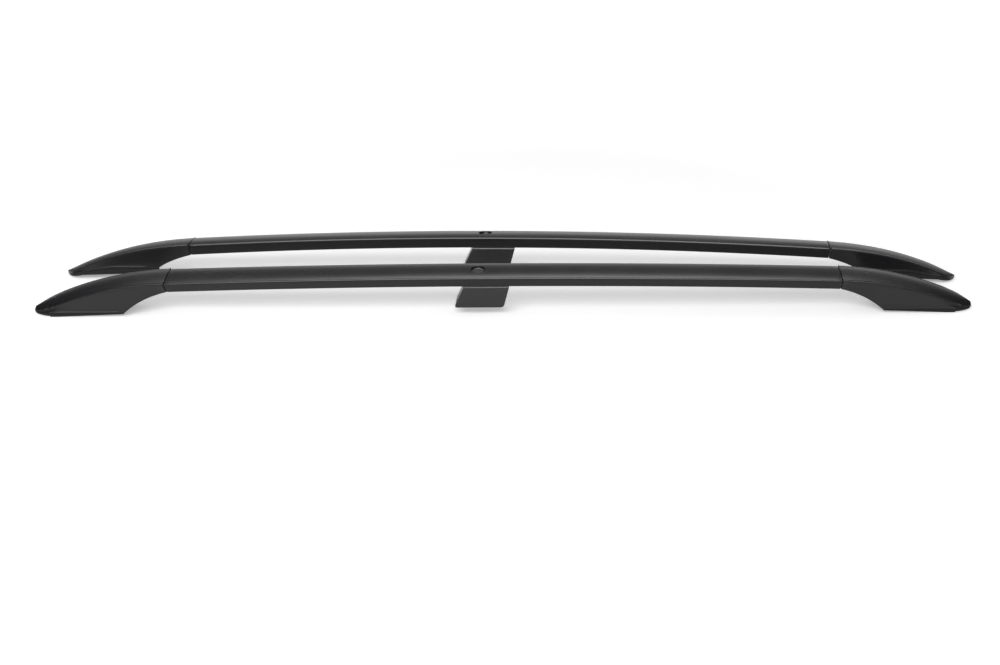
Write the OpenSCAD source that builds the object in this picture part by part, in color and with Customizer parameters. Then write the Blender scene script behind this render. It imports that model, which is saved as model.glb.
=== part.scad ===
// Pair of raised roof side rails for a car, left and right, standing on their foot pads.
// X runs along the rails with the front of the car at -X, Y to the right, Z up.
// The origin lies on the ground at the middle of the pair.

/* [Pair] */
// Distance between the two rails, at the ends of the bars
rail_spacing = 147; // [120:1:1200]
// Toe of each rail, the front ends stand further apart
toe = 0.7; // [0:0.05:2]

/* [Bar] */
// Length of the bar between the two seams
bar_span = 1208; // [900:1:1500]
// Height of the arc of the bar
bar_arc = 17.5; // [8:0.5:18]
// Tilt of the plane of the arc, outward from upright
arc_tilt = 40.5; // [0:0.5:45]
// Outward lean of the bar section
lean = 7; // [4:0.5:10]
// Width of the bar at its two ridges
bar_w = 57.5; // [50:0.5:64]
// Width of the flat under the bar
bar_bottom_w = 42; // [39:0.5:48]
// Height of the ridges above the bottom of the bar
ridge_h = 20.5; // [18:0.5:24]
// Height of the crown above the ridges
crown_h = 4; // [3.5:0.5:8]
// Wall of the bar
bar_wall = 2.5; // [2:0.1:3]
// Height of the bottom of the bar at a seam
seam_h = 46; // [44:0.5:60]

/* [Feet] */
// Length of a foot from its seam to its nose
foot_l = 247; // [235:1:280]
// Height at which the line of the ridges meets the nose
ridge_end = 2.7; // [1:0.1:5]
// Share of the fall of the top that comes late, toward the nose
late_fall = 0.14; // [0:0.02:0.4]
// Length of the base, from its inboard end to the nose
base_l = 132; // [128:1:138]
// Length of the nose beyond the pad
nose_l = 35; // [30:1:40]
// Length over which the outer side turns in to the nose
nose_round = 47; // [40:1:60]
// Length over which the inner side turns in to the nose
inner_round = 37.5; // [20:0.5:45]
// Share of the inner half width that is left at the nose
inner_tip = 0.25; // [0.2:0.05:0.6]
// Slope of the underside where it leaves the seam
arch_slope = 0.26; // [0.2:0.02:0.4]
// Wall of the foot shell
shell_wall = 3; // [2.5:0.1:3.5]
// Gap between the bar and the foot at the seam
seam_gap = 0.8; // [0.3:0.1:1.2]
// Height of the nose at its front edge
nose_h = 5.2; // [5:0.1:8]
// Height of the lower edge of the nose above the ground
nose_lift = 1.5; // [1:0.1:3]

/* [Foot pads] */
// Slope of the underside across the rail, for the fall of the roof to the side
sole_cross = 8.6; // [0:0.1:10]
// Slope of the underside along the rail, for the curve of the roof
sole_rise = 2.2; // [0:0.1:3]
// Height of the pad's top at its outer side
pad_h = 8; // [7:0.5:9]
// Cross slope of the pad's top over its inboard part
pad_slope = 15.5; // [12:0.5:17]
// Share of that cross slope that is left at the outboard end
pad_fade = 0.5; // [0.4:0.05:0.8]
// Distance from the inboard end over which the cross slope stays full
pad_full = 60; // [40:1:80]
// Distance that the inboard end of the pad runs back at its inner side
pad_skew = 18; // [0:1:20]
// Distance that the rim of the pad stays inside the shell
pad_inset = 0.5; // [0.3:0.1:1]

/* [Foot brackets] */
// Height of the bottom of the bracket plate above the sole of the pad
plate_z = 7; // [6.5:0.1:8]
// Thickness of the bracket plate
plate_t = 5; // [4:0.5:6]
// Distance from the inboard end of the base to the plate
plate_in = 9; // [6:1:12]
// Length of the plate
plate_l = 90; // [85:1:95]
// Width of the plate
plate_w = 30; // [28:0.5:31]
// Width of the web that rises to the tongue
web_w = 22; // [16:1:24]
// Clearance between the web and the shell below it
web_gap = 3; // [2:0.5:5]
// Length of the tongue inside the bar
tongue_in = 75; // [60:1:110]
// Width of the tongue
tongue_w = 30; // [24:0.5:32]
// Thickness of the tongue
tongue_t = 11; // [9:0.5:12]
// Distance between the two studs of a foot
stud_pitch = 60; // [56:1:64]
// Radius of the thread bore for a stud
stud_r = 3.4; // [2.5:0.1:4.2]
// Radius of the collar of a threaded insert
collar_r = 8; // [7:0.5:9]
// Radius of the shank of a threaded insert
insert_r = 6; // [5.2:0.1:6.5]
// Depth of the thread bore in a foot insert
stud_depth = 14; // [10:1:15]
// Distance between the face of an insert and the sole of the pad
stud_sink = 0.8; // [0.4:0.1:1.2]

/* [Screws] */
// Radius of the shank of a tongue screw
screw_r = 3; // [2.5:0.1:3.5]
// Distance between the two tongue screws
screw_pitch = 36; // [24:1:40]
// Radius of the shank of a cover screw
cover_r = 2; // [1.6:0.1:2.4]
// Distance between the two cover screws
cover_pitch = 24; // [20:1:28]

/* [Middle support] */
// Place of the middle support along the rail
mid_x = -48; // [-200:1:200]
// Length of the block at its bottom
mid_l = 89; // [70:0.5:120]
// Depth of the block across the rail
mid_w = 38; // [34:0.5:40]
// Height of the flat underside of the block above the ground
mid_lift = 15; // [14:0.5:24]
// Lean of the front end of the block
mid_front_lean = 25; // [0:1:30]
// Lean of the rear end of the block
mid_rear_lean = 15.5; // [0:0.5:20]
// Radius of the lower corners of the block
mid_corner = 6; // [1:0.5:8]
// Thickness of the pad under the block
mid_pad_t = 3; // [2:0.5:5]
// Part of that thickness that stands out of the block
mid_pad_out = 1; // [0.5:0.1:1.5]
// Distance between the edge of the block and its pad
mid_pad_inset = 8; // [6:0.5:10]
// Radius of the threaded sleeve in the block
sleeve_r = 7; // [6:0.5:8]
// Radius of the shank of the middle bolt
bolt_r = 4; // [3:0.5:5]
// Radius of the access hole in the top of the bar
hole_r = 12.5; // [11:0.5:14]
// Depth of the rim of the plug below the crown of the bar
plug_sink = 2.2; // [1:0.1:2.4]
// Depth of the dish of the plug below its rim
plug_dish = 2.4; // [0.8:0.1:2.6]

/* [Fits] */
// Gap between pieces that seat on each other
seat = 0.2; // [0.1:0.05:0.3]
// Radial gap of a screw in a plain hole
play = 0.3; // [0.2:0.05:0.4]

/* [Hidden] */
$fn = 48;
eps = 0.01;
half_span = bar_span / 2;
bend_r = round((half_span * half_span + bar_arc * bar_arc) / (2 * bar_arc));
half_angle = asin(half_span / bend_r);
sag = bend_r * (1 - cos(half_angle));
rise = sag * cos(arc_tilt);
bow = sag * sin(arc_tilt);
twist = arc_tilt - lean;
crown_r = (bar_w * bar_w / 4 + crown_h * crown_h) / (2 * crown_h);
bar_h = ridge_h + crown_h;
// Axes of the seam plane: across the section and up the section
arc_out = [sin(half_angle), cos(half_angle) * sin(arc_tilt), cos(half_angle) * cos(arc_tilt)];
arc_side = [0, cos(arc_tilt), -sin(arc_tilt)];
seam_p = sin(twist) * arc_out + cos(twist) * arc_side;
seam_q = cos(twist) * arc_out - sin(twist) * arc_side;
seam_fall = tan(half_angle) * cos(arc_tilt);
seam_drift = tan(half_angle) * sin(arc_tilt);
// Outer edge of the foot at the ridge, used by the pad and the nose
edge_out = bar_w / 2 * cos(lean) + ridge_h * sin(lean);
edge_in = bar_w / 2 * cos(lean) - ridge_h * sin(lean);
shell_gap = 0.3;
base_to = foot_l - nose_l;
base_from = base_to - base_l;
plate_from = base_from + plate_in;
nose_from = foot_l - nose_round;
nose_drop = seam_h + ridge_h - ridge_end;
head_r = 1.8 * screw_r;
head_t = 3;
screw_first = 18;
cover_head_r = 2 * cover_r;
cover_head_t = 2.4;
cover_in = 10;
boss_r = cover_r + 2.5;
plate_top = plate_z + plate_t;
stud_mid = plate_from + plate_l / 2;
// Where the web leaves the tongue at its lower and its upper side
web_throat = 0.375 * base_from;
web_neck = 0.575 * base_from;
lead_in = 0.8;
thread_gap = 0.05;
pocket_gap = 1.5;
// Length by which a cut runs past the face that it opens
past = 5;
washer_t = 1.6;
washer_r = 2.1 * bolt_r;
bolt_head_t = 1.3 * bolt_r;
bolt_in = 14;
plug_lip = 0.8;
plug_wall = 2;

// A corner of an outline turned into a short curve
function soften(a, c, b, r, n) =
    let (u = (a - c) / norm(a - c), v = (b - c) / norm(b - c))
    [for (i = [0 : n]) let (t = i / n)
        (1 - t) * (1 - t) * (c + r * u) + 2 * t * (1 - t) * c + t * t * (c + r * v)];

// Outline of the bar, inset by t, from the outer foot corner round under the bar and over the crown
function section(t, n_low, n_ridge, n_crown) =
    let (
        k = (bar_w - bar_bottom_w) / 2 / ridge_h,
        side = t * sqrt(1 + k * k),
        low = bar_bottom_w / 2 + k * t - side,
        rc = crown_r - t,
        cq = bar_h - crown_r,
        half = bar_w / 2 - side,
        rq = cq + sqrt(rc * rc - half * half),
        lowr = max(0.6, 2.5 - t),
        r = max(0.4, 1.6 - t / 2),
        a0 = asin((half - r) / rc)
    )
    concat(
        soften([-half, rq], [-low, t], [low, t], lowr, n_low),
        soften([-low, t], [low, t], [half, rq], lowr, n_low),
        soften([low, t], [half, rq], [rc * sin(a0), cq + rc * cos(a0)], r, n_ridge),
        [for (i = [1 : n_crown - 1]) let (a = a0 * (1 - 2 * i / n_crown)) [rc * sin(a), cq + rc * cos(a)]],
        soften([-rc * sin(a0), cq + rc * cos(a0)], [-half, rq], [-low, t], r, n_ridge)
    );

// Sweeps an outline along the arc of the bar
module along_bar(reach) {
    translate([0, bow, seam_h + rise]) rotate([-arc_tilt, 0, 0]) rotate([0, -90, -90])
        translate([-bend_r, 0, 0]) for (half = [0, 1]) mirror([0, half, 0])
        rotate_extrude(angle = reach, $fn = 900)
        translate([bend_r, 0]) rotate(-twist) mirror([1, -1]) children();
}

// Places a piece on the bar at x: its X along the bar, Y across, Z up from the underside
module on_bar(x) {
    translate([0, bow, seam_h + rise]) rotate([-arc_tilt, 0, 0]) rotate([0, -90, -90])
        translate([-bend_r, 0, 0]) rotate([0, 0, asin(x / bend_r)]) translate([bend_r, 0, 0])
        rotate([0, twist, 0]) rotate([90, 0, 90]) children();
}

// Moves a piece that is drawn for the right rail to its side of the car
module rail(side) {
    mirror([0, side == "left" ? 1 : 0, 0]) translate([0, rail_spacing / 2, 0])
        rotate([0, 0, -toe]) children();
}

// Mirrors a piece that is drawn for the rear end to its end of the rail
module end(which) {
    mirror([which == "front" ? 1 : 0, 0, 0]) children();
}

// Bar
module bar() {
    color("#17181a") difference() {
        along_bar(half_angle) polygon(section(0, 4, 4, 12));
        along_bar(half_angle + 0.05) polygon(section(bar_wall, 2, 2, 8));
        on_bar(mid_x) translate([0, 0, ridge_h / 2]) cylinder(r = hole_r, h = bar_h);
        on_bar(mid_x) translate([0, 0, -past]) cylinder(r = bolt_r + play, h = 2 * past + bar_wall);
        for (e = ["front", "rear"]) end(e) screw_places()
            translate([0, 0, -past]) cylinder(r = screw_r + play, h = 2 * past + bar_wall);
    }
}

// Seats of the two tongue screws at an end of the bar
module screw_places() {
    for (i = [0, 1]) on_bar(half_span - screw_first - i * screw_pitch) children();
}

// Foot: height of the pad under it, fall of its top, and arch of its underside, at u from the seam
function smooth(t) = let (s = min(1, max(0, t))) s * s * (3 - 2 * s);
function fade(u) = 1 - (1 - pad_fade) * smooth((u - base_from - pad_full) / (base_to - base_from - pad_full));
function sole(u, v) = tan(sole_rise) * (base_to - u) + tan(sole_cross) / cos(sole_rise) * (edge_out - v);
function pad_top(u, v) = pad_h + (edge_out - v) * tan(pad_slope) * fade(u);
function fall(u) =
    let (s = u / foot_l)
    seam_fall * u + (nose_drop - seam_fall * foot_l) * s * s * (1 - late_fall + late_fall * s);
// The foot leaves the seam in the line of the bar and soon runs straight along the car
function drift(u) = let (turn = foot_l / 4, w = min(u, turn)) -seam_drift * w * (1 - w / (2 * turn));
function arch(u) =
    let (deep = seam_h - pad_h)
    arch_slope * u + (deep - arch_slope * base_from) * pow(u / base_from, 3);
// Larger of two heights with a soft change between them
function soft_max(a, b, k) = (a + b + sqrt((a - b) * (a - b) + k * k)) / 2;
// Plan of the foot: share of the width that is left toward the rounded nose, on the outer and inner side
function nose_turn(u, from) = min(1, max(0, (u - from) / (foot_l - from)));
function out_share(u) = 0.06 + 0.94 * sqrt(1 - 0.985 * pow(nose_turn(u, nose_from), 2));
function in_share(u) = 1 - (1 - inner_tip) * pow(nose_turn(u, foot_l - inner_round), 2);
// Height of the lower edge of the shell: over the pad, and beyond it over the ground
function lip(u, v) = u > base_to + 1
    ? nose_lift + tan(sole_cross) * (edge_out - v) * (1 - nose_turn(u, nose_from))
    : pad_top(u, v) + shell_gap;

// One ring of the foot at u from the seam, inset by t, open says that it runs out through the base
function ring(u, t, open) =
    let (
        pts = section(t, 2, 3, 8)
    )
    [for (p = pts)
        let (
            flat = seam_p * p[0] + seam_q * p[1],
            low = p[1] < ridge_h / 2,
            toward = smooth(u / base_from),
            spread = low ? 1 + toward * (bar_w / bar_bottom_w - 1) : 1,
            v0 = seam_p[1] * p[0] * spread + seam_q[1] * (low ? p[1] + toward * ridge_h : p[1]),
            v = v0 * (v0 > 0 ? out_share(u) : in_share(u)),
            top = soft_max(seam_h + flat[2] - fall(u), nose_h - t, 4 * u / foot_l),
            base = lip(u, v) + 0.3 * (p[1] - t) + t * 1.3,
            under = max(seam_h + flat[2] - arch(u) + toward * t / 3, base),
            z = low ? (open ? p[1] - t - 2 : (u < base_from ? under : base)) : top
        )
        [half_span + u + flat[0] * max(0, 1 - u / 60), v + drift(u), z]];

// Skin over a row of rings
module loft(rings) {
    n = len(rings);
    m = len(rings[0]);
    polyhedron(
        points = [for (r = rings) each r],
        faces = concat(
            [[for (j = [0 : m - 1]) j]],
            [for (i = [0 : n - 2]) for (j = [0 : m - 1]) let (k = (j + 1) % m)
                each [[i * m + j, (i + 1) * m + j, i * m + k], [i * m + k, (i + 1) * m + j, (i + 1) * m + k]]],
            [[for (j = [m - 1 : -1 : 0]) (n - 1) * m + j]]
        ),
        convexity = 6);
}

// Stations of the rings, closer together at the base corners and at the nose
arch_stations = [0.18, 0.35, 0.53, 0.68, 0.8, 0.89, 1] * base_from;
base_stations = [for (s = [0.1, 0.24, 0.4, 0.55, 0.68, 0.79, 0.88, 0.95]) base_from + s * (base_to - base_from)];
nose_stations = [for (s = [0.15, 0.35, 0.55, 0.72, 0.84, 0.92, 0.97, 1]) base_to + s * nose_l];

module foot() {
    color("#222325") difference() {
        union() {
            difference() {
                loft([for (u = concat(seam_gap, arch_stations, base_stations, base_to + 0.9, base_to + 1.1,
                    nose_stations)) ring(u, 0, false)]);
                loft(concat(
                    [for (u = concat(-1, arch_stations, base_from + 4)) ring(u, shell_wall, false)],
                    [for (u = concat(base_from + 4.5, base_stations)) ring(u, shell_wall, true)]));
            }
            cover_bosses();
        }
        cover_places() translate([0, 0, plate_top - 1])
            cylinder(r = cover_r - play + thread_gap, h = cover_in + 3);
    }
}

// Places a piece on the sole at u from the seam: its X along the sole, Z square to it
module on_sole(u) {
    translate([half_span + base_to, edge_out + drift(base_to), 0]) rotate([-sole_cross, sole_rise, 0])
        translate([u - base_to, -edge_out, 0]) children();
}

// Places of the two cover screws
module cover_places() {
    for (i = [-1, 1]) on_sole(stud_mid + i * cover_pitch / 2) children();
}

// Bosses inside the shell that stand on the bracket plate and run up into the roof of the shell
module cover_bosses() {
    for (i = [-1, 1]) let (
        u = stud_mid + i * cover_pitch / 2,
        roof = seam_h + bar_h * cos(lean) - fall(u + boss_r) - shell_wall / 2
    ) on_sole(u) translate([0, 0, plate_top + seat])
        cylinder(r = boss_r, h = (roof - sole(u, 0)) / cos(sole_cross) - plate_top - seat);
}

// Places of the two studs of a foot
module stud_places() {
    for (i = [-1, 1]) on_sole(stud_mid + i * stud_pitch / 2) children();
}

// Rubber pad under the foot, with a pocket for the bracket
module pad() {
    color("#141414") difference() {
        loft([for (u = concat(base_from + 1, base_stations, base_to)) pad_ring(u)]);
        stud_places() translate([0, 0, -past]) cylinder(r = collar_r + play, h = plate_top + 3 * past);
        cover_places() translate([0, 0, -past]) cylinder(r = cover_head_r + play, h = plate_top + 3 * past);
        on_sole(plate_from - pocket_gap) translate([0, -plate_w / 2 - pocket_gap, plate_z - seat])
            cube([plate_l + 2 * pocket_gap, plate_w + 2 * pocket_gap, plate_t + 3 * past]);
        on_sole(0) translate([base_from / 2, -web_w / 2 - pocket_gap, plate_z - seat])
            cube([plate_from - base_from / 2, web_w + 2 * pocket_gap, plate_t + 3 * past]);
    }
}

function pad_ring(u) =
    let (
        w = u - pad_skew * (base_to - u) / (base_to - base_from),
        a = pad_inset - edge_in * in_share(w),
        b = edge_out * out_share(u) - pad_inset
    )
    [[half_span + w, a + drift(w), sole(w, a)], [half_span + u, b + drift(u), sole(u, b)],
        [half_span + u, b + drift(u), pad_top(u, b)], [half_span + w, a + drift(w), pad_top(w, a)]];

// Steel bracket: plate with the insert seats, web, and tongue into the bar
module bracket() {
    color("#8d9094") difference() {
        union() {
            on_sole(plate_from) translate([0, -plate_w / 2, plate_z]) cube([plate_l, plate_w, plate_t]);
            translate([half_span, drift(stud_mid) + web_w / 2, 0]) rotate([90, 0, 0])
                linear_extrude(height = web_w) polygon(web_outline());
            tongue();
        }
        stud_places() translate([0, 0, plate_z - 1]) cylinder(r = insert_r + thread_gap, h = plate_t + 4 * past);
        cover_places() translate([0, 0, plate_z - 1]) cylinder(r = cover_r + play, h = plate_t + 2);
        screw_places() cylinder(r = screw_r + thread_gap, h = bar_wall + seat + tongue_t - 2);
    }
}

// Side outline of the web, from the plate in a curve up to the tongue
function web_outline() =
    let (
        heel = plate_from + 8,
        deck = sole(heel, 0) + plate_z + plate_t / 2,
        high = seam_h + bar_wall + 0.7 * tongue_t - deck,
        sill = pad_top(base_from, -web_w / 2 - 5) + 0.3 * shell_wall
    )
    concat(
        [for (a = [0 : 15 : 90]) [web_neck + (heel - web_neck) * cos(a), deck + high * sin(a)]],
        [[web_throat, deck + high]],
        [for (u = [web_throat, 0.5 * base_from, 0.65 * base_from, 0.8 * base_from, plate_from - 1])
            [u, max(seam_h - arch(u), sill) + shell_wall + web_gap]],
        [[plate_from, deck]]
    );

// Tongue: it lies on the floor of the bar, and steps up where it passes through the shell
module tongue() {
    step = shell_wall + 4 * seat;
    on_bar(half_span) translate([-tongue_in, -tongue_w / 2, bar_wall + seat])
        cube([tongue_in - 1, tongue_w, tongue_t]);
    on_bar(half_span) translate([-tongue_in / 2, -tongue_w / 2, step])
        cube([tongue_in / 2 + web_neck + 4, tongue_w, bar_wall + seat + tongue_t - step]);
}

// Screws through the underside of the bar into the tongue
module tongue_screws() {
    color("#9a9da1") screw_places() difference() {
        union() {
            translate([0, 0, -head_t - seat / 2]) cylinder(r = head_r, h = head_t);
            translate([0, 0, -seat / 2 - eps]) cylinder(r = screw_r, h = bar_wall + tongue_t - 3);
        }
        translate([0, 0, -head_t - seat / 2 - eps]) cylinder(r = screw_r * 0.72, h = head_t * 0.6, $fn = 6);
    }
}

// Screws through the bracket plate into the bosses of the shell
module cover_screws() {
    color("#9a9da1") cover_places() difference() {
        union() {
            translate([0, 0, plate_z - cover_head_t]) cylinder(r = cover_head_r, h = cover_head_t);
            translate([0, 0, plate_z - eps]) cylinder(r = cover_r - play, h = plate_t + cover_in);
        }
        translate([0, 0, plate_z - cover_head_t - eps]) cylinder(r = 0.8 * cover_r, h = 0.6 * cover_head_t, $fn = 6);
    }
}

// Threaded inserts that hang in the plate and open downward through the pad
module inserts() {
    color("#a9a389") stud_places() difference() {
        union() {
            translate([0, 0, stud_sink]) cylinder(r = collar_r, h = plate_z - stud_sink);
            translate([0, 0, plate_z - eps]) cylinder(r = insert_r, h = stud_sink + stud_depth + 2 - plate_z);
        }
        translate([0, 0, stud_sink - eps]) cylinder(r = stud_r, h = stud_depth);
        translate([0, 0, stud_sink - eps]) cylinder(r1 = stud_r + lead_in, r2 = stud_r, h = lead_in);
    }
}

// Side view of the block, with both ends leaning to the rear, up to a height h above its underside
function block_outline(h) =
    let (
        a = [-mid_l / 2, 0], b = [mid_l / 2, 0],
        c = [mid_l / 2 + h * tan(mid_rear_lean), h],
        d = [-mid_l / 2 + h * tan(mid_front_lean), h]
    )
    concat(soften(d, a, b, mid_corner, 4), soften(a, b, c, mid_corner, 4), [c, d]);

module mid_support() {
    color("#26272a") difference() {
        translate([mid_x, bow + mid_w / 2, mid_lift]) rotate([90, 0, 0])
            linear_extrude(height = mid_w) polygon(block_outline(seam_h + rise + bar_w - mid_lift));
        on_bar(mid_x) translate([-2 * mid_l, -bar_w, -seat]) cube([4 * mid_l, 2 * bar_w, 2 * bar_w]);
        on_bar(mid_x) translate([0, 0, -seam_h - rise]) cylinder(r = sleeve_r + thread_gap, h = seam_h + rise + 5);
        mid_pad_box(0, mid_lift + mid_pad_t - mid_pad_out);
    }
}

// Box over the place of the middle pad, from below the block up to a height
module mid_pad_box(gap, top) {
    low = mid_lift - mid_pad_out;
    translate([mid_x - mid_l / 2 + mid_pad_inset + gap, bow - mid_w / 2 + mid_pad_inset - 2 + gap, low])
        cube([mid_l - 2 * mid_pad_inset - 2 * gap, mid_w - 2 * mid_pad_inset + 4 - 2 * gap, top - low]);
}

// Thin rubber pad let into the underside of the block
module mid_pad() {
    color("#141414") difference() {
        mid_pad_box(seat, mid_lift + mid_pad_t - mid_pad_out - seat);
        on_bar(mid_x) translate([0, 0, -seam_h - rise]) cylinder(r = sleeve_r + seat, h = seam_h + rise);
    }
}

// Bolt inside the bar that draws the block up
module mid_bolt() {
    head_z = bar_wall + washer_t + 2 * seat;
    color("#9a9da1") on_bar(mid_x) difference() {
        union() {
            translate([0, 0, head_z]) cylinder(r = 1.6 * bolt_r, h = bolt_head_t);
            translate([0, 0, -bolt_in]) cylinder(r = bolt_r, h = bolt_in + head_z + eps);
        }
        translate([0, 0, head_z + 0.4 * bolt_head_t]) cylinder(r = 0.8 * bolt_r, h = bolt_head_t, $fn = 6);
    }
}

module mid_washer() {
    color("#9a9da1") on_bar(mid_x) translate([0, 0, bar_wall + seat]) difference() {
        cylinder(r = washer_r, h = washer_t);
        translate([0, 0, -1]) cylinder(r = bolt_r + play, h = washer_t + 2);
    }
}

// Threaded sleeve in the block, bolt from above and roof stud from below
module mid_sleeve() {
    color("#a9a389") difference() {
        on_bar(mid_x) translate([0, 0, -seam_h - rise]) cylinder(r = sleeve_r, h = seam_h + rise - seat);
        translate([mid_x - mid_l, -2 * mid_w, mid_lift - 2 * seam_h]) cube([2 * mid_l, 5 * mid_w, 2 * seam_h]);
        on_bar(mid_x) translate([0, 0, -bolt_in - 2]) cylinder(r = bolt_r + thread_gap, h = bolt_in + 10);
        on_bar(mid_x) translate([0, 0, -seam_h - rise])
            cylinder(r = stud_r, h = mid_lift / cos(lean) + stud_depth);
    }
}

// Dished cap that closes the access hole
module plug() {
    rim_z = bar_h - plug_sink;
    lip_z = bar_h - bar_wall - crown_h / 4 - seat;
    floor_z = rim_z - plug_dish - plug_wall;
    color("#2b2c2f") on_bar(mid_x) difference() {
        union() {
            translate([0, 0, floor_z]) cylinder(r = hole_r - seat, h = rim_z - floor_z);
            translate([0, 0, floor_z - eps]) cylinder(r = hole_r + plug_lip, h = lip_z - floor_z);
        }
        translate([0, 0, rim_z - plug_dish]) cylinder(r1 = hole_r - 2.6, r2 = hole_r - 1.4, h = plug_dish + eps);
    }
}

rail("left") bar();  // left_bar
rail("left") end("front") foot();  // left_front_foot
rail("left") end("rear") foot();  // left_rear_foot
rail("left") end("front") pad();  // left_front_pad
rail("left") end("rear") pad();  // left_rear_pad
rail("left") end("front") bracket();  // left_front_bracket
rail("left") end("rear") bracket();  // left_rear_bracket
rail("left") end("front") tongue_screws();  // left_front_tongue_screws
rail("left") end("rear") tongue_screws();  // left_rear_tongue_screws
rail("left") end("front") cover_screws();  // left_front_cover_screws
rail("left") end("rear") cover_screws();  // left_rear_cover_screws
rail("left") end("front") inserts();  // left_front_inserts
rail("left") end("rear") inserts();  // left_rear_inserts
rail("left") mid_support();  // left_mid_support
rail("left") mid_pad();  // left_mid_pad
rail("left") mid_bolt();  // left_mid_bolt
rail("left") mid_washer();  // left_mid_washer
rail("left") mid_sleeve();  // left_mid_sleeve
rail("left") plug();  // left_plug
rail("right") bar();  // right_bar
rail("right") end("front") foot();  // right_front_foot
rail("right") end("rear") foot();  // right_rear_foot
rail("right") end("front") pad();  // right_front_pad
rail("right") end("rear") pad();  // right_rear_pad
rail("right") end("front") bracket();  // right_front_bracket
rail("right") end("rear") bracket();  // right_rear_bracket
rail("right") end("front") tongue_screws();  // right_front_tongue_screws
rail("right") end("rear") tongue_screws();  // right_rear_tongue_screws
rail("right") end("front") cover_screws();  // right_front_cover_screws
rail("right") end("rear") cover_screws();  // right_rear_cover_screws
rail("right") end("front") inserts();  // right_front_inserts
rail("right") end("rear") inserts();  // right_rear_inserts
rail("right") mid_support();  // right_mid_support
rail("right") mid_pad();  // right_mid_pad
rail("right") mid_bolt();  // right_mid_bolt
rail("right") mid_washer();  // right_mid_washer
rail("right") mid_sleeve();  // right_mid_sleeve
rail("right") plug();  // right_plug
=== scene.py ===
import bpy, bmesh
import numpy as np
from mathutils import Matrix, Vector


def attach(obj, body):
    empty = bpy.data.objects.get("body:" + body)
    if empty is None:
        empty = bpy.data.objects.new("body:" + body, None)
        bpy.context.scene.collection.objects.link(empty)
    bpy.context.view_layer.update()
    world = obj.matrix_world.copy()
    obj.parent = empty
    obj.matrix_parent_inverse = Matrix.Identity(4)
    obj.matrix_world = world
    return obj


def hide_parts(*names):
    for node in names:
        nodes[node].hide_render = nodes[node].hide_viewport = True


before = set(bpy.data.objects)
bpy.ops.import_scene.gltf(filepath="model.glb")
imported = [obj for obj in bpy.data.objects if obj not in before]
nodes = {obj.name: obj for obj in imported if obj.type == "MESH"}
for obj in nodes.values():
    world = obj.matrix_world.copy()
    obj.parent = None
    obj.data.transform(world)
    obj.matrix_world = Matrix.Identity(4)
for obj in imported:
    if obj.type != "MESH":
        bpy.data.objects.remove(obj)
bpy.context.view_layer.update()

# The photograph's view: a camera 2.3 metres away, 26 degrees above the ground and almost square to
# the rails. It stands to the right of their middle, so the picture is shifted to bring them back.
view_target, view_distance = Vector((0.1871, -0.2379, 0.030)), 2.3
view_pitch, view_yaw, view_roll = np.radians(25.87), np.radians(-0.62), np.radians(0.27)
sensor_width, picture_pixels, focal_pixels, picture_shift = 36.0, 1000.0, 1347.2, -0.110
view_back = Vector((np.sin(view_yaw) * np.cos(view_pitch), -np.cos(view_yaw) * np.cos(view_pitch),
                    np.sin(view_pitch)))
camera_data = bpy.data.cameras.new("camera")
camera_data.sensor_width = sensor_width
camera_data.lens = sensor_width * focal_pixels / picture_pixels
camera_data.shift_x = picture_shift
camera_data.clip_start, camera_data.clip_end = 0.05, 60.0
camera = bpy.data.objects.new("camera", camera_data)
camera.location = view_target + view_back * view_distance
camera.rotation_euler = ((-view_back).to_track_quat("-Z", "Y").to_matrix()
                         @ Matrix.Rotation(view_roll, 3, "Z")).to_euler()
bpy.context.collection.objects.link(camera)
bpy.context.scene.camera = camera
bpy.context.scene.view_settings.view_transform = "Standard"

# Studio: an even fill light and one large soft lamp above the front. Reflections show a white backdrop
# that gives way to a dimmer room above it and to darkness at the two ends, and a soft strip overhead.
# The camera sees plain white. Each fade and full is a part of a ray's direction, upward or sideways.
backdrop_fade, backdrop_full, backdrop_level, room_level = 0.21, 0.42, 1.0, 0.34
end_fade, end_full, end_level = 0.22, 0.60, 0.03
strip_fade, strip_full, strip_level = 0.82, 0.95, 9.0
fill_level = 0.50
lamp_place, lamp_target = Vector((-0.5, -1.95, 1.95)), Vector((0.0, -0.1, 0.0))
lamp_length, lamp_depth, lamp_power = 3.0, 1.2, 60.0


def feed(tree, node, inputs):
    """Sets inputs of a node, each to a value or to the output that feeds it."""
    for key, value in inputs.items():
        if isinstance(value, bpy.types.NodeSocket):
            tree.links.new(value, node.inputs[key])
        else:
            node.inputs[key].default_value = value


def add_node(tree, kind, inputs=(), **settings):
    """Adds a node with its attributes and inputs, and returns its outputs."""
    node = tree.nodes.new(kind)
    for key, value in settings.items():
        setattr(node, key, value)
    feed(tree, node, dict(inputs))
    return node.outputs


def maths(tree, operation, *values):
    """One sum on outputs or values, such as ADD, MULTIPLY, MAXIMUM or ABSOLUTE."""
    return add_node(tree, "ShaderNodeMath", enumerate(values), operation=operation)[0]


def smooth_range(tree, value, low, high, at_low, at_high):
    """A smooth step of an output: at_low below low, at_high above high, an S curve between."""
    return add_node(tree, "ShaderNodeMapRange", {
        "Value": value, "From Min": low, "From Max": high, "To Min": at_low, "To Max": at_high},
        interpolation_type="SMOOTHSTEP")["Result"]


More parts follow.
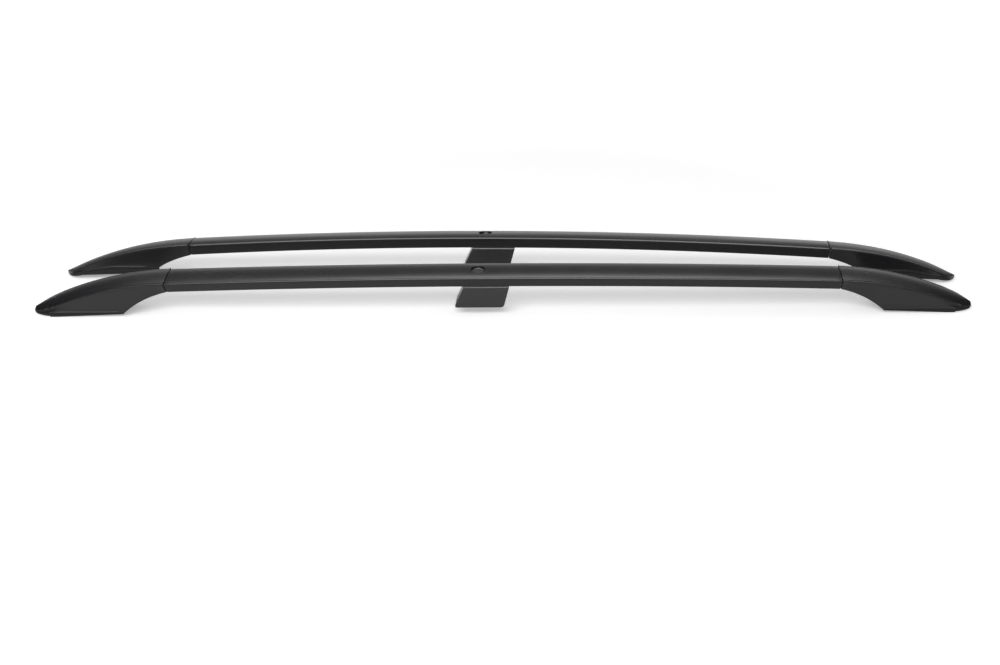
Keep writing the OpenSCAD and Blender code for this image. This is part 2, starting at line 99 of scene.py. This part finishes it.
world = bpy.data.worlds.new("studio")
bpy.context.scene.world = world
world.use_nodes = True
sky = world.node_tree
sky.nodes.clear()
sky_way = add_node(sky, "ShaderNodeTexCoord")["Generated"]
sky_part = add_node(sky, "ShaderNodeSeparateXYZ", {0: sky_way})
sky_height = smooth_range(sky, sky_part["Z"], backdrop_fade, backdrop_full, backdrop_level, room_level)
sky_strip = smooth_range(sky, sky_part["Z"], strip_fade, strip_full, 0.0, strip_level)
sky_ends = smooth_range(sky, maths(sky, "ABSOLUTE", sky_part["X"]), end_fade, end_full, 1.0, end_level)
sky_gloss = maths(sky, "MULTIPLY", maths(sky, "ADD", sky_height, sky_strip), sky_ends)
sky_ray = add_node(sky, "ShaderNodeLightPath")
sky_inner = add_node(sky, "ShaderNodeMix", {
    "Factor": sky_ray["Is Glossy Ray"], "A": fill_level, "B": sky_gloss})["Result"]
sky_seen = maths(sky, "MAXIMUM", sky_ray["Is Camera Ray"], sky_ray["Is Transmission Ray"])
sky_level = add_node(sky, "ShaderNodeMix", {
    "Factor": sky_seen, "A": sky_inner, "B": backdrop_level})["Result"]
sky_light = add_node(sky, "ShaderNodeBackground", {"Color": (1, 1, 1, 1), "Strength": sky_level})[0]
add_node(sky, "ShaderNodeOutputWorld", {"Surface": sky_light})
lamp_data = bpy.data.lights.new("front_key", "AREA")
lamp_data.shape, lamp_data.energy = "RECTANGLE", lamp_power
lamp_data.size, lamp_data.size_y = lamp_length, lamp_depth
lamp = bpy.data.objects.new("front_key", lamp_data)
lamp.location = lamp_place
lamp.rotation_euler = (lamp_target - lamp_place).to_track_quat("-Z", "Y").to_euler()
bpy.context.collection.objects.link(lamp)

# Floor: a plain pale sheet that the pair stands on. It reads white to the camera, keeps the soft
# shadows of the rails, and gives more light of its own to the camera where the lamp falls off.
floor_corners = [(-9, -7, 0), (9, -7, 0), (9, 11, 0), (-9, 11, 0)]
floor_colour, floor_rough, floor_specular = (0.82, 0.82, 0.82, 1), 0.9, 0.1
lift_from, lift_to, lift_near, lift_far = 0.75, 1.6, 0.35, 0.85


def new_material(name):
    """An empty material; returns it, its node tree and its shader."""
    material = bpy.data.materials.new(name)
    material.use_nodes = True
    return material, material.node_tree, material.node_tree.nodes["Principled BSDF"]


floor_paint, floor_tree, floor_shader = new_material("floor_white")
floor_ray = add_node(floor_tree, "ShaderNodeLightPath")
floor_seen = maths(floor_tree, "MAXIMUM", floor_ray["Is Camera Ray"], floor_ray["Is Transmission Ray"])
floor_place = add_node(floor_tree, "ShaderNodeTexCoord")["Object"]
floor_away = add_node(floor_tree, "ShaderNodeVectorMath", {0: floor_place}, operation="LENGTH")["Value"]
floor_lift = smooth_range(floor_tree, floor_away, lift_from, lift_to, lift_near, lift_far)
feed(floor_tree, floor_shader, {
    "Base Color": floor_colour, "Roughness": floor_rough, "Specular IOR Level": floor_specular,
    "Emission Color": (1, 1, 1, 1),
    "Emission Strength": maths(floor_tree, "MULTIPLY", floor_seen, floor_lift)})
floor_mesh = bpy.data.meshes.new("floor")
floor_mesh.from_pydata(floor_corners, [], [(0, 1, 2, 3)])
floor_mesh.materials.append(floor_paint)
floor = bpy.data.objects.new("floor", floor_mesh)
bpy.context.collection.objects.link(floor)

# Bars: one black powder-coated aluminium extrusion a side, bent in a long arc that rises and
# bows outward. The section has a flat underside, two sides that flare to a ridge, and a crown
# with a round access hole in it.
rail_half_gap, rail_toe = 0.0735, np.radians(0.7)
bar_half, bar_radius = 0.604, 10.432
arc_tilt, bar_lean = np.radians(40.5), np.radians(7.0)
bar_width, bar_under, ridge_height, crown_rise = 0.0575, 0.042, 0.0205, 0.0039
lower_reach, ridge_reach = 0.0025, 0.0028
corner_steps, flat_steps, wall_steps = 6, 6, 7
seam_height = 0.046
access_x, access_radius, access_lip, pocket_depth = -0.048, 0.0125, 0.0003, 0.0066
lining_edge, lining_dip, lining_turn = 0.0002, 0.00008, 0.0004
end_back, end_round, end_pull, section_middle = 0.0003, 0.0008, 0.035, 0.012
cell, crown_cells, hole_cells, warp_cells = 0.0012, 22, 10, 18
rings_before, rings_after, tiny, weld = 60, 70, 1e-6, 2e-5
drift_low, drift_high = 0.3, 0.7
bar_angle = np.arcsin(bar_half / bar_radius)
bar_sag = bar_radius * (1 - np.cos(bar_angle))
crown_radius = (bar_width ** 2 / 4 + crown_rise ** 2) / (2 * crown_rise)
bar_height = ridge_height + crown_rise
crown_centre = bar_height - crown_radius
out_tilt, up_tilt = np.sin(arc_tilt), np.cos(arc_tilt)
twist = arc_tilt - bar_lean


def corner_curve(a, c, b, reach):
    """A corner c between a and b as a parabola from reach before it to reach after it."""
    a, c, b = map(np.asarray, (a, c, b))
    u, v = (a - c) / np.linalg.norm(a - c), (b - c) / np.linalg.norm(b - c)
    t = np.linspace(0, 1, corner_steps + 1)[:, None]
    return (1 - t) ** 2 * (c + reach * u) + 2 * t * (1 - t) * c + t ** 2 * (c + reach * v)


def crown_height(p):
    """The height of the crown at p across: a circle about the crown's centre."""
    return crown_centre + np.sqrt(crown_radius ** 2 - p ** 2)


def bar_section(crown_p):
    """The bar's outline as points across p and up q: inner lower corner, flat underside, outer
    lower corner, outer ridge, crown at the places crown_p, inner ridge. Returns the points and
    the index of each crown point."""
    ridge, low = (bar_width / 2, ridge_height), (bar_under / 2, 0)
    ridge_in, low_in = (-ridge[0], ridge[1]), (-low[0], 0)
    crown_turn = np.arcsin((ridge[0] - ridge_reach) / crown_radius)
    shoulder = (crown_radius * np.sin(crown_turn), crown_centre + crown_radius * np.cos(crown_turn))
    inner_low = corner_curve(ridge_in, low_in, low, lower_reach)
    outer_low = corner_curve(low_in, low, ridge, lower_reach)
    flat_p = np.linspace(inner_low[-1, 0], outer_low[0, 0], flat_steps + 1)[1:-1]
    wall = np.linspace(outer_low[-1], ridge, wall_steps + 1)[1:-2]
    outer_ridge = corner_curve(low, ridge, shoulder, ridge_reach)
    rows = [inner_low, np.stack([flat_p, np.zeros(flat_steps - 1)], 1), outer_low, wall, outer_ridge,
            np.stack([crown_p, crown_height(crown_p)], 1),
            outer_ridge[::-1] * (-1, 1), wall[::-1] * (-1, 1)]
    first = sum(len(row) for row in rows[:5])
    return np.concatenate(rows), np.arange(first, first + len(crown_p))


def on_arc(x, p, q):
    """Places a section point (p across, q up) at x along the bar, in the rail's own frame: the
    section stands square to an arc whose plane leans outward by arc_tilt."""
    phi = np.arcsin(x / bar_radius)
    out = np.stack([np.sin(phi), np.cos(phi) * out_tilt, np.cos(phi) * up_tilt], -1)
    side = np.array([0, up_tilt, -out_tilt])
    start = np.array([0, bar_sag * out_tilt, seam_height + bar_sag * up_tilt])
    centre = start - bar_radius * np.array([0, out_tilt, up_tilt])
    across = np.sin(twist) * out + np.cos(twist) * side
    up = np.cos(twist) * out - np.sin(twist) * side
    return centre + bar_radius * out + p[..., None] * across + q[..., None] * up


def to_car(points, side):
    """Turns a rail by its toe, sets it half the gap from the middle, and mirrors it for the left."""
    c, s = np.cos(rail_toe), -np.sin(rail_toe)
    x, y = points[..., 0] * c - points[..., 1] * s, points[..., 0] * s + points[..., 1] * c
    y = y + rail_half_gap
    return np.stack([x, -y if side == "left" else y, points[..., 2]], -1)


def grid_faces(rows, cols):
    """Quads between neighbouring rows of a grid whose last column joins the first."""
    i, j = np.meshgrid(np.arange(rows - 1), np.arange(cols), indexing="ij")
    k = (j + 1) % cols
    quads = [i * cols + j, i * cols + k, (i + 1) * cols + k, (i + 1) * cols + j]
    return np.stack(quads, -1).reshape(-1, 4)


def round_edge(near, pull):
    """How much of its size a ring keeps at a round edge: a quarter circle in near, from 0 to 1."""
    return 1 - pull * (1 - np.sqrt(1 - near ** 2))


def make_piece(name, points, faces, material, merge=tiny):
    """A mesh object at the origin from points and faces, smooth, with outward normals. Points
    closer than merge become one, and points without a face go."""
    mesh = bpy.data.meshes.new(name)
    mesh.from_pydata(points.reshape(-1, 3).tolist(), [], faces)
    bm = bmesh.new()
    bm.from_mesh(mesh)
    bmesh.ops.remove_doubles(bm, verts=bm.verts, dist=merge)
    bmesh.ops.delete(bm, geom=[v for v in bm.verts if not v.link_faces], context="VERTS")
    bmesh.ops.recalc_face_normals(bm, faces=bm.faces)
    bm.to_mesh(mesh)
    bm.free()
    mesh.shade_smooth()
    mesh.materials.append(material)
    piece = bpy.data.objects.new(name, mesh)
    bpy.context.collection.objects.link(piece)
    return piece


def grain_group():
    """Fine grain: two noises on object coordinates, one for the peel of the finish and one for
    slow change over the surface. Puts out a bump height and a slow mask."""
    group = bpy.data.node_groups.new("fine_grain", "ShaderNodeTree")
    for name, value in (("Grain Scale", 900.0), ("Drift Scale", 9.0)):
        socket = group.interface.new_socket(name, in_out="INPUT", socket_type="NodeSocketFloat")
        socket.default_value = value
    for name in ("Height", "Drift"):
        group.interface.new_socket(name, in_out="OUTPUT", socket_type="NodeSocketFloat")
    given, result = add_node(group, "NodeGroupInput"), group.nodes.new("NodeGroupOutput")
    where = add_node(group, "ShaderNodeTexCoord")["Object"]
    for scale, name, detail in (("Grain Scale", "Height", 3.0), ("Drift Scale", "Drift", 2.0)):
        noise = add_node(group, "ShaderNodeTexNoise", {
            "Vector": where, "Scale": given[scale], "Detail": detail})
        feed(group, result, {name: noise["Fac"]})
    return group


fine_grain = grain_group()


def grained(tree, dark, light, scales):
    """The outputs of the grain at its scales, and a colour that drifts from dark to light with it."""
    grain = add_node(tree, "ShaderNodeGroup", scales, node_tree=fine_grain)
    tint = add_node(tree, "ShaderNodeMix", {
        "Factor": grain["Drift"], "A": (*dark, 1), "B": (*light, 1)}, data_type="RGBA")
    return grain, tint["Result"]


def dark_finish(name, dark, light, rough, grain_scale, grain_height, specular=0.5):
    """A black finish: base colour and roughness drift slowly, and fine grain raises a bump."""
    material, tree, shader = new_material(name)
    grain, tint = grained(tree, dark, light, {"Grain Scale": grain_scale})
    spread = add_node(tree, "ShaderNodeMapRange", {
        "Value": grain["Drift"], "From Min": drift_low, "From Max": drift_high,
        "To Min": rough[0], "To Max": rough[1]})
    bump = add_node(tree, "ShaderNodeBump", {
        "Height": grain["Height"], "Distance": grain_height, "Strength": 1.0})
    feed(tree, shader, {"Base Color": tint, "Roughness": spread["Result"], "Normal": bump["Normal"],
                        "Specular IOR Level": specular})
    return material


powder_coat = dark_finish("powder_coat", dark=(0.007, 0.007, 0.008), light=(0.010, 0.010, 0.011),
                          rough=(0.22, 0.28), grain_scale=1100, grain_height=0.000008, specular=0.36)
section_pq, crown_at = bar_section(np.arange(-crown_cells, crown_cells + 1)[::-1] * cell)
hole_half, warp_half, hole_lip = hole_cells * cell, warp_cells * cell, access_radius + access_lip
bar_end = bar_half - end_back
bar_x = np.unique(np.round(np.concatenate([
    np.linspace(-bar_end, access_x - warp_half, rings_before),
    access_x + np.arange(-warp_cells, warp_cells + 1) * cell,
    np.linspace(access_x + warp_half, bar_end, rings_after),
    np.outer([-1, 1], bar_end - end_round * np.array([0.1, 0.35, 0.65, 1.0])).ravel()]), 7))
n_section = len(section_pq)
grid_x = np.repeat(bar_x[:, None], n_section, 1)
grid_p = np.repeat(section_pq[None, :, 0], len(bar_x), 0)
grid_q = np.repeat(section_pq[None, :, 1], len(bar_x), 0)
# The round hole: grid points in a square about it slide so that an inner square becomes the circle
dx, dp = grid_x[:, crown_at] - access_x, grid_p[:, crown_at]
square, angle = np.maximum(np.abs(dx), np.abs(dp)), np.arctan2(dp, dx)
blend = np.clip((square - hole_half) / (warp_half - hole_half), 0, 1)
round_r = hole_lip * np.minimum(square / hole_half, 1)
moved = square < warp_half - tiny
new_dx = np.where(moved, (1 - blend) * round_r * np.cos(angle) + blend * dx, dx)
new_dp = np.where(moved, (1 - blend) * round_r * np.sin(angle) + blend * dp, dp)
grid_x[:, crown_at], grid_p[:, crown_at] = access_x + new_dx, new_dp
grid_q[:, crown_at] = crown_height(new_dp)
# The cut ends of the bar have a small round edge
end_draw = round_edge(np.clip(1 - (bar_end - np.abs(grid_x)) / end_round, 0, 1), end_pull)
grid_p, grid_q = grid_p * end_draw, (grid_q - section_middle) * end_draw + section_middle
inside = np.zeros(grid_x.shape, bool)
inside[:, crown_at] = square < hole_half + tiny
hole_rim = inside.copy()
hole_rim[:, crown_at] &= square > hole_half - tiny
bar_faces = grid_faces(len(bar_x), n_section)
bar_faces = bar_faces[~inside.reshape(-1)[bar_faces].all(1)].tolist()
bar_faces += [list(range(n_section)), list(range((len(bar_x) - 1) * n_section, grid_x.size))]
# Lining of the hole: a small round edge, a straight wall past the plug and a closed floor below it
lining_r = np.array([hole_lip, hole_lip - lining_edge, access_radius, access_radius])
lining_drop = np.array([0.0, lining_dip, lining_turn, pocket_depth])
lt, lr = np.meshgrid(np.sort(np.arctan2(grid_p[hole_rim], grid_x[hole_rim] - access_x)), lining_r)
lp = lr * np.sin(lt)
lq = crown_height(lp) - lining_drop[:, None]
lq[-1] = bar_height - pocket_depth
bar_faces += (grid_faces(*lt.shape) + grid_x.size).tolist()
bar_faces.append([grid_x.size + lt.size - k for k in range(1, lt.shape[1] + 1)])
for side in ("left", "right"):
    points = np.concatenate([on_arc(grid_x, grid_p, grid_q).reshape(-1, 3),
                             on_arc(access_x + lr * np.cos(lt), lp, lq).reshape(-1, 3)])
    bar = make_piece(side + "_bar_coated", to_car(points, side), bar_faces, powder_coat, merge=weld)
    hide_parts(side + "_bar")
    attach(bar, "root")

# Plugs: a round cap of black plastic with a slightly raised rim, pressed deep into each access
# hole, where it hides the bolt of the middle support.
dish_centre, dish_radius, dish_drop, dish_crown = 0.0001, 0.0108, 0.0048, 0.0003
dish_steps, plug_around = 14, 96
plug_rim_r = [0.0112, 0.0116, 0.0120, 0.0123, 0.0123]
plug_rim_drop = [0.0047, 0.0046, 0.0047, 0.0050, 0.0064]
cap_plastic = dark_finish("cap_plastic", dark=(0.022, 0.022, 0.024), light=(0.030, 0.030, 0.032),
                          rough=(0.30, 0.38), grain_scale=1500, grain_height=0.000010)
plug_r = np.concatenate([np.linspace(dish_centre, dish_radius, dish_steps), plug_rim_r])
plug_drop = np.concatenate([dish_drop + dish_crown * np.linspace(0, 1, dish_steps) ** 2, plug_rim_drop])
pt, pr = np.meshgrid(np.linspace(0, 2 * np.pi, plug_around + 1)[:-1], plug_r)
pq = np.repeat(bar_height - plug_drop[:, None], plug_around, 1)
plug_faces = grid_faces(*pr.shape).tolist()
plug_faces += [list(range(plug_around)), [pr.size - k for k in range(1, plug_around + 1)]]
for side in ("left", "right"):
    points = on_arc(access_x + pr * np.cos(pt), pr * np.sin(pt), pq)
    plug = make_piece(side + "_plug_cap", to_car(points, side), plug_faces, cap_plastic)
    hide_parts(side + "_plug")
    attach(plug, "root")

# Feet: moulded shells of black plastic, open below and screwed to the brackets inside them. The bar's
# section runs on from the seam, its crown falls in a curve to a blunt nose, and the underside arches
# down to a base that follows the car's roof.
foot_length, base_from, nose_length, shell_wall, shell_gap = 0.247, 0.080, 0.035, 0.003, 0.0003
ridge_end, late_fall, arch_slope, lean_fade = 0.0027, 0.14, 0.26, 0.060
nose_height, nose_blend, nose_under, under_share = 0.0052, 0.004, 0.0032, 0.3
tip_round, tip_pull, tip_from, tip_rings = 0.0018, 0.3, np.radians(15), 6
outer_turn, outer_least, outer_bend = 0.047, 0.06, 0.985
inner_turn, inner_loss, inner_power = 0.0375, 0.95, 2.6
pad_side, pad_slope, pad_fade, pad_full = 0.008, np.radians(15.5), 0.5, 0.060
seam_from, seam_round, neck_from = 0.0012, 0.0008, 0.003
neck_rings, arch_rings, base_rings, nose_rings, nose_crowd = 25, 21, 56, 36, 0.7
crown_half, crown_columns = 0.0262, 29
groove_up, groove_half, groove_deep, groove_step = 0.0026, 0.0007, 0.0007, 0.6
groove_start, groove_stop, groove_end, wall_least, wall_rows = 0.010, 0.020, 0.004, 0.012, 8
mouth_first, mouth_last, mouth_front, mouth_back = 4, 14, 0.003, 0.006
thin_reach, thin_least = 0.010, 0.1
base_to = foot_length - nose_length
drift_reach = foot_length / 4
edge_out = bar_width / 2 * np.cos(bar_lean) + ridge_height * np.sin(bar_lean)
edge_in = bar_width / 2 * np.cos(bar_lean) - ridge_height * np.sin(bar_lean)
seam_out = np.array([np.sin(bar_angle), np.cos(bar_angle) * out_tilt, np.cos(bar_angle) * up_tilt])
seam_side = np.array([0, up_tilt, -out_tilt])
seam_p = np.sin(twist) * seam_out + np.cos(twist) * seam_side
seam_q = np.cos(twist) * seam_out - np.sin(twist) * seam_side
seam_fall, seam_drift = np.tan(bar_angle) * up_tilt, np.tan(bar_angle) * out_tilt


def ease(t):
    """Smooth step from 0 to 1."""
    s = np.clip(t, 0, 1)
    return s * s * (3 - 2 * s)


def nose_turn(u, length):
    """0 up to the given length before the nose, then rising evenly to 1 at the nose."""
    return np.clip((u - foot_length + length) / length, 0, 1)


def outer_share(u):
    """The share of its width that the outer side keeps: a quarter ellipse toward the nose."""
    return outer_least + (1 - outer_least) * np.sqrt(1 - outer_bend * nose_turn(u, outer_turn) ** 2)


def inner_share(u):
    """The share of its width that the inner side keeps: it falls with a power toward the nose."""
    return 1 - inner_loss * nose_turn(u, inner_turn) ** inner_power


def foot_skin(u, p, q):
    """The foot's outer skin at u from the seam. The upper points are the bar's section, lowered along
    the bar's own slope and by a curve of second and third power in u, with a soft stop at the nose
    height. The lower points fall by an arch of first and third power in u to the pad's sloping top,
    and sink to the tip of the nose. The half widths narrow toward the nose by outer_share and
    inner_share. The middle line leaves the seam in line with the bar and is straight past
    drift_reach."""
    u, p, q = np.broadcast_arrays(u, p, q)
    flat = p[..., None] * seam_p + q[..., None] * seam_q
    low = q < ridge_height / 2
    toward = ease(u / base_from)
    spread = np.where(low, 1 + toward * (bar_width / bar_under - 1), 1)
    v = seam_p[1] * p * spread + seam_q[1] * np.where(low, q + toward * ridge_height, q)
    v = v * np.where(v > 0, outer_share(u), inner_share(u))
    s = u / foot_length
    drop = seam_height + ridge_height - ridge_end - seam_fall * foot_length
    fall = seam_fall * u + drop * s * s * (1 - late_fall + late_fall * s)
    a, b, k = seam_height + flat[..., 2] - fall, nose_height, nose_blend * s
    top_z = (a + b + np.sqrt((a - b) ** 2 + k * k)) / 2
    slope_share = 1 - (1 - pad_fade) * ease((u - base_from - pad_full) / (base_to - base_from - pad_full))
    pad_z = pad_side + (edge_out - v) * np.tan(pad_slope) * slope_share + shell_gap
    past = ease((u - base_to) / nose_length)
    base = pad_z * (1 - past) + nose_under * past + under_share * q
    arch = arch_slope * u + (seam_height - pad_side - arch_slope * base_from) * (u / base_from) ** 3
    low_z = np.where(u < base_from, np.maximum(seam_height + flat[..., 2] - arch, base), base)
    w = np.minimum(u, drift_reach)
    x = bar_half + u + flat[..., 0] * np.clip(1 - u / lean_fade, 0, 1)
    y = v - seam_drift * w * (1 - w / (2 * drift_reach))
    return np.stack([x, y, np.where(low, low_z, top_z)], -1)


def side_wall(low, high, inward):
    """Rows up a side wall, straight from its lower edge to the ridge, with a round-bottomed groove
    (a bell curve in height) a little above the lower edge, along the base only."""
    tall = np.maximum(np.linalg.norm(high - low, axis=-1), wall_least)[:, None]
    up = groove_up + np.arange(-3, 4) * groove_step * groove_half
    above = (up[-1] / tall) + (1 - up[-1] / tall) * np.arange(1, wall_rows) / wall_rows
    t = np.concatenate([up / tall, above], 1)[..., None]
    rows = low[:, None] * (1 - t) + high[:, None] * t
    along = ring_u[:, None]
    bell = np.exp(-((t[..., 0] * tall - groove_up) / groove_half) ** 2)
    bell = bell * ease((along - base_from) / groove_start)
    rows[..., 1] += inward * groove_deep * bell * ease((foot_length - groove_end - along) / groove_stop)
    return rows


foot_plastic = dark_finish("foot_plastic", dark=(0.009, 0.009, 0.010), light=(0.012, 0.012, 0.013),
                           rough=(0.26, 0.32), grain_scale=1400, grain_height=0.000012)
bar_pq, bar_crown = bar_section(np.linspace(crown_half, -crown_half, crown_columns))
n_lower, n_ridge = 2 * corner_steps + flat_steps + 1, corner_steps + 1
lower_pq, upper_pq = bar_pq[:n_lower], bar_pq[bar_crown[0] - n_ridge:bar_crown[-1] + n_ridge + 1]
foot_u = np.unique(np.concatenate([
    seam_from + seam_round * np.array([0, 0.125, 0.5, 1]), np.linspace(neck_from, lean_fade, neck_rings),
    np.linspace(lean_fade, base_from, arch_rings), np.linspace(base_from, base_to, base_rings),
    base_to + np.linspace(0, 1, nose_rings) ** nose_crowd * (nose_length - tip_round)]))
# The last rings draw together to round the tip of the nose, the first to round the edge at the seam
round_turn = np.linspace(tip_from, np.pi / 2, tip_rings)
ring_u = np.concatenate([foot_u, foot_length - tip_round + tip_round * np.sin(round_turn)])
tip_share = np.concatenate([np.ones(len(foot_u)), 1 - tip_pull * (1 - np.cos(round_turn))])
seam_share = round_edge(np.clip((seam_from + seam_round - ring_u) / seam_round, 0, 1), end_pull)
ring_share = (tip_share + seam_share - 1)[:, None, None]
lower = foot_skin(ring_u[:, None], lower_pq[None, :, 0], lower_pq[None, :, 1])
upper = foot_skin(ring_u[:, None], upper_pq[None, :, 0], upper_pq[None, :, 1])
outer_wall = side_wall(lower[:, -1], upper[:, 0], -1)
inner_wall = side_wall(lower[:, 0], upper[:, -1], 1)[:, ::-1]
foot_points = np.concatenate([lower, outer_wall, upper, inner_wall], 1)
ring_mean = foot_points.mean(1, keepdims=True)
foot_points = np.where([1, 0, 0], foot_points, (foot_points - ring_mean) * ring_share + ring_mean)
n_ring, n_foot = foot_points.shape[:2]
foot_faces = grid_faces(n_ring, n_foot)
face_u, face_col = ring_u[foot_faces[:, 0] // n_foot], foot_faces[:, 0] % n_foot
mouth = ((face_col >= mouth_first) & (face_col < mouth_last)
         & (face_u > base_from + mouth_front) & (face_u < base_to - mouth_back))
foot_faces = foot_faces[~mouth].tolist() + [list(range((n_ring - 1) * n_foot, n_ring * n_foot))]
for side in ("left", "right"):
    for end in ("front", "rear"):
        points = foot_points * ((-1 if end == "front" else 1), 1, 1)
        foot = make_piece(f"{side}_{end}_foot_shell", to_car(points, side), foot_faces, foot_plastic)
        # The wall thins out over the last stretch before the nose
        place = np.empty(len(foot.data.vertices) * 3, np.float32)
        foot.data.vertices.foreach_get("co", place)
        before_nose = bar_half + base_to - np.abs(place[::3])
        wall_share = np.round(np.clip(before_nose / thin_reach, thin_least, 1), 1)
        full = foot.vertex_groups.new(name="full_wall")
        for share in np.unique(wall_share):
            full.add(np.flatnonzero(wall_share == share).tolist(), float(share), "REPLACE")
        wall = foot.modifiers.new("wall", "SOLIDIFY")
        wall.thickness, wall.offset, wall.vertex_group = shell_wall, -1, "full_wall"
        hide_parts(f"{side}_{end}_foot")
        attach(foot, "root")

# Rubber: wedge pads under the feet and thin pads under the middle supports, cut from black rubber.
# A moulded rim of the same rubber goes on under each nose and fills the low gap below the shell.
sole_cross, nose_lift = np.radians(8.6), 0.0015
rim_inset, rim_start, rim_stop, rim_least, rim_edge = 0.0007, 0.0002, 0.0036, 0.0006, 0.0004
rim_rows, rim_crowd, rim_corner = 30, 0.8, np.radians(40)


def paint(mesh, material):
    """Gives a mesh one material in place of what it had."""
    mesh.materials.clear()
    mesh.materials.append(material)


rubber = dark_finish("rubber", dark=(0.010, 0.010, 0.010), light=(0.016, 0.016, 0.016),
                     rough=(0.62, 0.78), grain_scale=700, grain_height=0.00003, specular=0.35)
for name in nodes:
    if name.endswith("_pad"):
        paint(nodes[name].data, rubber)
rim_u = base_to + rim_start + np.linspace(0, 1, rim_rows) ** rim_crowd * (nose_length - rim_stop)
rim_out = edge_out * outer_share(rim_u) - rim_inset
rim_in = rim_inset - edge_in * inner_share(rim_u)
rim_v = np.stack([rim_in, rim_out, rim_out, rim_in], 1)
rim_past = ease((rim_u - base_to) / nose_length)[:, None]
rim_pad = pad_side + (edge_out - rim_v) * np.tan(pad_slope) * pad_fade
rim_top = rim_pad * (1 - rim_past) + nose_under * rim_past
rim_low = nose_lift + np.tan(sole_cross) * (edge_out - rim_v) * (1 - nose_turn(rim_u, outer_turn))[:, None]
rim_z = np.where([True, True, False, False], np.minimum(rim_low, rim_top - rim_least), rim_top)
rim_x = np.repeat(bar_half + rim_u[:, None], 4, 1)
rim_points = np.stack([rim_x, rim_v - seam_drift * drift_reach / 2, rim_z], -1)
rim_faces = grid_faces(*rim_x.shape).tolist() + [[0, 1, 2, 3], [rim_x.size - k for k in (1, 2, 3, 4)]]
for side in ("left", "right"):
    for end in ("front", "rear"):
        points = rim_points * ((-1 if end == "front" else 1), 1, 1)
        rim = make_piece(f"{side}_{end}_nose_rim", to_car(points, side), rim_faces, rubber)
        rim.data.shade_flat()
        edge = rim.modifiers.new("soft_edge", "BEVEL")
        edge.width, edge.segments = rim_edge, 2
        edge.limit_method, edge.angle_limit = "ANGLE", rim_corner
        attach(rim, "root")

# Middle supports: solid moulded blocks of black plastic that lean to the rear, with softened edges and
# a chamfered shoulder under the bar, bolted up against the underside of each bar.
support_depth, shoulder_drop, shoulder_in, soft_edge = 0.038, 0.0034, 0.0018, 0.0008
cut_near, side_share, short_step = 0.0005, 0.3, 0.001
flat_corner, sharp_corner = np.radians(1.0), np.radians(25)
support_plastic = dark_finish("support_plastic", dark=(0.017, 0.017, 0.018), light=(0.023, 0.023, 0.025),
                              rough=(0.16, 0.24), grain_scale=1300, grain_height=0.000008)
cut_place, bar_floor, bar_above = on_arc(
    np.full(3, access_x), np.zeros(3), np.array([-shoulder_drop, 0.0, short_step]))
for side in ("left", "right"):
    bm = bmesh.new()
    bm.from_mesh(nodes[side + "_mid_support"].data)
    bmesh.ops.remove_doubles(bm, verts=bm.verts, dist=tiny)
    bmesh.ops.dissolve_limit(bm, angle_limit=flat_corner, verts=bm.verts, edges=bm.edges)
    cut_at = Vector(to_car(cut_place, side))
    cut_up = (Vector(to_car(cut_place + (bar_above - bar_floor), side)) - cut_at).normalized()
    bmesh.ops.bisect_plane(bm, geom=bm.verts[:] + bm.edges[:] + bm.faces[:], plane_co=cut_at, plane_no=cut_up)
    mesh = bpy.data.meshes.new(side + "_support_block")
    bm.to_mesh(mesh)
    bm.free()
    # The rim above the cut draws in to the chamfer
    place = np.empty(len(mesh.vertices) * 3, np.float32)
    mesh.vertices.foreach_get("co", place)
    place = place.reshape(-1, 3)
    above = (place - np.array(cut_at)) @ np.array(cut_up) > cut_near
    middle = np.array([cut_at.x, (-1 if side == "left" else 1) * (rail_half_gap + cut_place[1])])
    outward = place[:, :2] - middle
    above &= np.abs(outward[:, 1]) > side_share * support_depth
    place[above, :2] -= shoulder_in * np.sign(outward[above])
    mesh.vertices.foreach_set("co", place.ravel())
    mesh.update()
    paint(mesh, support_plastic)
    block = bpy.data.objects.new(side + "_support_block", mesh)
    bpy.context.collection.objects.link(block)
    soft = block.modifiers.new("soft_edges", "BEVEL")
    soft.width, soft.segments = soft_edge, 3
    soft.limit_method, soft.angle_limit = "ANGLE", sharp_corner
    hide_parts(side + "_mid_support")
    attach(block, "root")

# Fixings: brackets, screws, bolts and washers of zinc-plated steel, and threaded inserts and sleeves
# in yellow zinc. They keep the shapes of their solids.
scratch_scale, tone_scale = 400, 60


def plated(name, colour, darker, rough):
    """Plated steel: the colour drifts between two tones and fine grain varies the roughness."""
    material, tree, shader = new_material(name)
    grain, tint = grained(tree, colour, darker, {"Grain Scale": scratch_scale, "Drift Scale": tone_scale})
    spread = add_node(tree, "ShaderNodeMapRange", {
        "Value": grain["Height"], "To Min": rough[0], "To Max": rough[1]})
    feed(tree, shader, {"Base Color": tint, "Roughness": spread["Result"], "Metallic": 1.0})
    return material


zinc = plated("zinc_plate", colour=(0.50, 0.50, 0.52), darker=(0.36, 0.36, 0.38), rough=(0.30, 0.48))
yellow_zinc = plated("yellow_zinc", colour=(0.52, 0.44, 0.25), darker=(0.40, 0.36, 0.22),
                     rough=(0.27, 0.45))
for name in nodes:
    if name.endswith(("_bracket", "_screws", "_bolt", "_washer")):
        paint(nodes[name].data, zinc)
    if name.endswith(("_inserts", "_sleeve")):
        paint(nodes[name].data, yellow_zinc)
